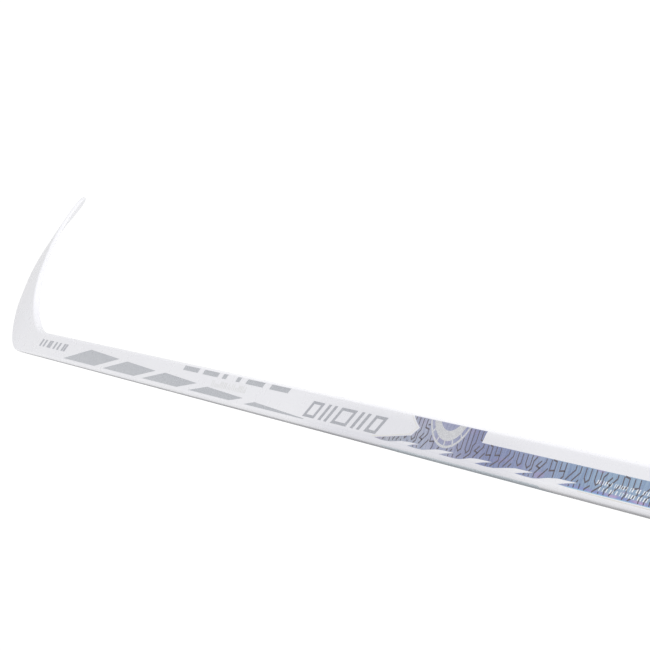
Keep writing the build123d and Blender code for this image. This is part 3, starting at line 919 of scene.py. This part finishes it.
MAZE_UNIT = [
    [(2.8, 13), (2.8, 4.2), (8.4, 3.4), (8.4, -2.4), (2.8, -3.2), (2.8, 4.2)],
    [(8.4, -2.4), (8.4, -6.5), (5, -11)],
    [(8.4, 13), (8.4, 8.2), (5.4, 7.6)],
    [(14, 13), (14, 5.4), (19.6, 4.6), (19.6, -1.2), (14, -2), (14, 5.4)],
    [(19.6, -1.2), (19.6, -5), (12, -9.4), (12, -11)],
    [(25.2, 13), (25.2, 5), (30.8, 4.2), (30.8, 1), (22.5, -6.3), (22.5, -11)],
    [(30.8, 13), (30.8, 8.4), (28, 7.8)],
    [(36.4, 13), (36.4, 0), (28, -7.4), (28, -11)],
    [(42, 13), (42, -2.6), (44.4, -5), (47.6, -3), (47.6, 13)],
    [(53.2, 13), (53.2, -2.6), (55.6, -5), (58.8, -3), (58.8, 13)],
    [(36.6, -4.6), (33.5, -7.4), (33.5, -11)],
    [(39.6, -6.4), (39.6, -11)],
    [(50.2, -6.2), (45.4, -9), (45.4, -11)],
    [(64.4, 13), (64.4, 3.2), (61.6, 0.6), (61.6, -4.8), (54, -9.4), (54, -11)],
    [(70, 13), (70, 5.8), (75.6, 5), (75.6, 1.5), (66, -7), (66, -11)],
    [(70.6, 1.6), (66, -2.2), (70.4, -3.2)],
    [(60.4, -8.6), (60.4, -11)],
    [(75.6, 13), (75.6, 8.6), (72.6, 8)],
    [(79.6, -2.2), (71.8, -9), (71.8, -11)],
]


RING_C = (1152.5, 26.3)
FILM_TOP = 12.45


def circle(cx, cy, rx, ry, n, a0=0.0, a1=360.0):
    return [(cx + rx * math.cos(math.radians(a0 + (a1 - a0) * k / n)), cy + ry * math.sin(math.radians(a0 + (a1 - a0) * k / n))) for k in range(n + 1)]


def ring_part(r_out, r_in, a0=180.0, a1=360.0):
    """Piece of a ring, kept below the film's top border."""
    n = max(int((a1 - a0) / 3), 6)

    def arc_pts(r):
        lim = math.degrees(math.asin((RING_C[1] - FILM_TOP) / r))
        lo, hi = max(a0, 180 + lim), min(a1, 360 - lim)
        return circle(RING_C[0], RING_C[1], r, r, n, lo, hi) if hi > lo else []
    o, i = arc_pts(r_out), arc_pts(r_in)
    return o + i[::-1]


def in_ring(x, y):
    return (x - RING_C[0]) ** 2 + (y - RING_C[1]) ** 2 < 32.2 ** 2


def in_film(x, y):
    return all(inside(FILM_EDGE, x + a, y + b) for a, b in ((0, 0.35), (0, -0.35), (0.35, 0), (-0.35, 0)))


def frame_of(x0, x1, y0, y1, lean, stroke):
    """Outline and opening of a slanted box drawn as a line of the given width."""
    k = lean / (y1 - y0)
    return slanted(x0, x1, y0, y1, lean), [slanted(x0 + stroke * 2 + k * stroke, x1 - stroke * 2 + k * stroke, y0 + stroke, y1 - stroke, lean - 2 * k * stroke)]


for side, tag in ((-1, "backhand"), (1, "forehand")):
    decal(tag + "_silver_rhomboids", RHOMBS, side, 0.06, m_silver, (tag + "_rhomboid_foils",))
    bars, holes = [], []
    for a, b in BARS:
        o, h = frame_of(a, b, -7.6, 6.4, 13, 2.3)
        if b - a > 17:
            bars.append(o); holes.append(h)
        else:
            bars += [slanted(a, a + 5, -7.6, 6.4, 13), slanted(b - 5, b, -7.6, 6.4, 13)]; holes += [None, None]
    decal(tag + "_silver_bars", bars, side, 0.06, m_mark, (tag + "_bar_foils",), holes=holes)
    decal(tag + "_colour_film", [FILM_EDGE], side, 0.05, m_film, (tag + "_film",))
    lines = []
    for k in range(-1, 5):
        for path in MAZE_UNIT:
            moved = [(x + 1050 + 79.0 * k, y) for x, y in path]
            lines += clipped(moved, lambda x, y: in_film(x, y) and not (in_ring(x, y) and side < 0))
    decal(tag + "_maze_lines", [ribbon(l, 1.1) for l in lines], side, 0.08, m_dark)

blocks = [slanted(a + 3, b - 6, 7.6, 12.2, 3.5) for a, b in BLOCKS]
decal("backhand_silver_blocks", blocks, -1, 0.06, m_silver, ("backhand_block_foils",))

heel = []
for x in (118, 133, 150, 158, 176, 192, 210, 219):
    heel.append(slanted(x, x + 7, -2.5, 6.5, 9))
decal("backhand_heel_marks", heel, -1, 0.06, m_mark, ("backhand_heel_ticks",))

rings = [ring_part(31.7, 29.9), ring_part(26.6, 19.2)]
for a0 in (225.5, 247, 268.5, 290, 311.5):
    rings.append(ring_part(29.95, 26.55, a0, a0 + 3.0))
decal("backhand_ring_mark", rings, -1, 0.085, m_ring)

rnd = random.Random(7)
ticks = []
for row, q in ((0, -2.8), (1, -6.7)):
    x = 1343.0 + row * 4
    while x < 1398:
        w = rnd.choice((0.7, 0.9, 1.2))
        ticks.append(slanted(x, x + w, q - 1.25, q + 1.25, 1.0))
        x += w + rnd.choice((1.4, 1.8, 3.0))
decal("backhand_fine_ticks", ticks, -1, 0.11, m_white_ink)

spec, x = [], 701.0
while x < 785:
    w = rnd.choice((0.9, 0.9, 1.3))
    foot = -1.6 + (x - 701) * 0.007
    cut = rnd.choice((0.0, 0.0, 2.6))
    spec.append(slanted(x, x + w, foot, foot + 6.1 - cut, 0.6))
    x += w + rnd.choice((1.9, 2.4, 3.2))
decal("backhand_spec_ticks", spec, -1, 0.06, m_faint)

for side, tag in ((-1, "backhand"), (1, "forehand")):
    border = [(1044, -9.3), (1067, -6.4), (1100, -1.4), (1108.2, 4.5), (1100.5, 8.6), (1095, 12.2)]
    under = [(1326, -11.2), (1470, -11.2)]
    decal(tag + "_panel_hairline", [ribbon(border, 0.5), ribbon(under, 0.5)], side, 0.05, m_cream)

strip = [(1058, -14.4), (1280, -14.4), (1284, -31.8), (1062, -31.8)]
decal("heel_side_silver_strip", [strip], -1, 0.05, m_strip)

# ------------------------------------------------------------------ the CAD pieces that stay
for node, mat_ in (("blade_tenon", m_carbon), ("tenon_adhesive", m_epoxy), ("taper_foam_plug", m_foam), ("hosel_foam", m_foam),
                   ("blade_lower_core", m_foam), ("blade_upper_core", m_foam), ("blade_rib", m_carbon), ("butt_plug", m_plug)):
    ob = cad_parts[node]
    ob.data.materials.clear()
    ob.data.materials.append(mat_)

# ------------------------------------------------------------------ stage
floor_me = bpy.data.meshes.new("floor")
R = 40.0
floor_me.from_pydata([(-R, -R, -0.0004), (R, -R, -0.0004), (R, R, -0.0004), (-R, R, -0.0004)], [], [(0, 1, 2, 3)])
floor = bpy.data.objects.new("floor", floor_me)
bpy.context.scene.collection.objects.link(floor)
fm = bpy.data.materials.new("pale_floor")
fm.use_nodes = True
nt = fm.node_tree
nt.nodes.clear()
out = nt.nodes.new("ShaderNodeOutputMaterial")
emit = nt.nodes.new("ShaderNodeEmission")
emit.inputs["Color"].default_value = (1, 1, 1, 1)
emit.inputs["Strength"].default_value = 0.93
diff = nt.nodes.new("ShaderNodeBsdfDiffuse")
diff.inputs["Color"].default_value = (0.12, 0.12, 0.12, 1)
add = nt.nodes.new("ShaderNodeAddShader")
nt.links.new(emit.outputs[0], add.inputs[0])
nt.links.new(diff.outputs[0], add.inputs[1])
tc = nt.nodes.new("ShaderNodeTexCoord")
sep = nt.nodes.new("ShaderNodeSeparateXYZ")
nt.links.new(tc.outputs["Object"], sep.inputs[0])


def fmath(op, a, b):
    n = nt.nodes.new("ShaderNodeMath")
    n.operation = op
    for k, v in enumerate((a, b)):
        if isinstance(v, (int, float)):
            n.inputs[k].default_value = v
        else:
            nt.links.new(v, n.inputs[k])
    return n.outputs[0]


def frange(v, lo, hi, a, b):
    n = nt.nodes.new("ShaderNodeMapRange")
    n.interpolation_type = "SMOOTHSTEP"
    for k, x in (("From Min", lo), ("From Max", hi), ("To Min", a), ("To Max", b)):
        n.inputs[k].default_value = x
    nt.links.new(v, n.inputs["Value"])
    return n.outputs["Result"]


# the floor lights the stick from below, with a grey card lying behind it
turn = fmath("ARCTAN2", sep.outputs["Y"], fmath("SUBTRACT", sep.outputs["X"], 0.04))
dark = fmath("MULTIPLY", frange(turn, math.radians(12), math.radians(32), 0, 1), frange(turn, math.radians(95), math.radians(120), 1, 0))
near = fmath("MULTIPLY", frange(turn, math.radians(-95), math.radians(-70), 0, 1), frange(turn, math.radians(0), math.radians(15), 1, 0))
far = fmath("ADD", frange(turn, math.radians(100), math.radians(125), 0, 1), frange(turn, math.radians(-165), math.radians(-145), 1, 0))
away = nt.nodes.new("ShaderNodeVectorMath")
away.operation = "LENGTH"
nt.links.new(tc.outputs["Object"], away.inputs[0])
away = away.outputs["Value"]
base = frange(away, 0.35, 0.9, 0.80, 0.40)
far = fmath("MULTIPLY", far, frange(away, 0.4, 0.8, 0, 1))


def blend_to(v, factor, goal):
    return fmath("ADD", fmath("MULTIPLY", v, fmath("SUBTRACT", 1.0, factor)), fmath("MULTIPLY", factor, goal))


level = blend_to(blend_to(blend_to(base, near, 1.0), far, 1.15), dark, 0.15)
glow = nt.nodes.new("ShaderNodeEmission")
glow.inputs["Color"].default_value = (1, 1, 1, 1)
nt.links.new(level, glow.inputs["Strength"])
lp = nt.nodes.new("ShaderNodeLightPath")
mx = nt.nodes.new("ShaderNodeMixShader")
nt.links.new(lp.outputs["Is Camera Ray"], mx.inputs[0])
nt.links.new(glow.outputs[0], mx.inputs[1])
nt.links.new(add.outputs[0], mx.inputs[2])
nt.links.new(mx.outputs[0], out.inputs["Surface"])
floor_me.materials.append(fm)

scene = bpy.context.scene
world = bpy.data.worlds.new("studio")
scene.world = world
world.use_nodes = True
bg = world.node_tree.nodes["Background"]
bg.inputs["Color"].default_value = (1.0, 1.0, 1.0, 1)
bg.inputs["Strength"].default_value = 0.80
far_bg = world.node_tree.nodes.new("ShaderNodeBackground")      # what the camera sees above the floor's far edge
far_bg.inputs["Color"].default_value = (1.0, 1.0, 1.0, 1)
far_bg.inputs["Strength"].default_value = 1.02
w_path = world.node_tree.nodes.new("ShaderNodeLightPath")
w_mix = world.node_tree.nodes.new("ShaderNodeMixShader")
world.node_tree.links.new(w_path.outputs["Is Camera Ray"], w_mix.inputs[0])
world.node_tree.links.new(bg.outputs[0], w_mix.inputs[1])
world.node_tree.links.new(far_bg.outputs[0], w_mix.inputs[2])
world.node_tree.links.new(w_mix.outputs[0], world.node_tree.nodes["World Output"].inputs["Surface"])
scene.view_settings.view_transform = "Standard"
scene.view_settings.look = "None"
scene.view_settings.exposure = 0.0
scene.view_settings.gamma = 1.0


def area(name, loc, target, size, size_y, energy):
    d = bpy.data.lights.new(name, "AREA")
    d.shape = "RECTANGLE"
    d.size, d.size_y, d.energy = size, size_y, energy
    o = bpy.data.objects.new(name, d)
    scene.collection.objects.link(o)
    o.location = loc
    o.rotation_mode = "QUATERNION"
    o.rotation_quaternion = (Vector(target) - Vector(loc)).to_track_quat("-Z", "Y")
    return o


area("key_softbox", (0.4, -2.6, 3.7), (0.45, 0, 0.5), 3.0, 3.0, 62.0)
area("overhead_softbox", (0.3, 0.0, 4.2), (0.45, 0, 0.5), 4.0, 4.0, 24.0)
area("fill_softbox", (0.9, 3.0, 1.25), (0.0, 0, 0.1), 2.0, 2.0, 44.0)

# ------------------------------------------------------------------ camera
Sv = np.array((0.41683, -0.05625, 0.90724)); Tv = np.array((0.32484, 0.94139, -0.09088))
Sv /= np.linalg.norm(Sv); Tv -= Sv * (Sv @ Tv); Tv /= np.linalg.norm(Tv)
Nv = np.cross(Sv, Tv)
if Nv[0] < 0:
    Nv = -Nv
S3, T3, N3 = np.array((C45, 0, C45)), np.array((-C45, 0, C45)), np.array((0, 1.0, 0))
ax = [Sv[k] * S3 + Tv[k] * T3 + Nv[k] * N3 for k in range(3)]
P980 = np.array(shaft_pt(980.0, 0.0))
P980 = np.array((P980[0], 0.0, P980[1]))
Pc = np.array((19.4668, -73.1958, -1401.606))
loc = P980 - (ax[0] * Pc[0] + ax[1] * Pc[1] + ax[2] * Pc[2])
cd = bpy.data.cameras.new("camera")
cd.sensor_fit = "HORIZONTAL"
cd.sensor_width = 36.0
cd.lens = 1800.0 / 650.0 * 36.0
cd.clip_start, cd.clip_end = 0.05, 100.0
cam = bpy.data.objects.new("camera", cd)
scene.collection.objects.link(cam)
cam.matrix_world = Matrix(((ax[0][0], ax[1][0], ax[2][0], loc[0] * MM),
                           (ax[0][1], ax[1][1], ax[2][1], loc[1] * MM),
                           (ax[0][2], ax[1][2], ax[2][2], loc[2] * MM),
                           (0, 0, 0, 1)))
scene.camera = cam
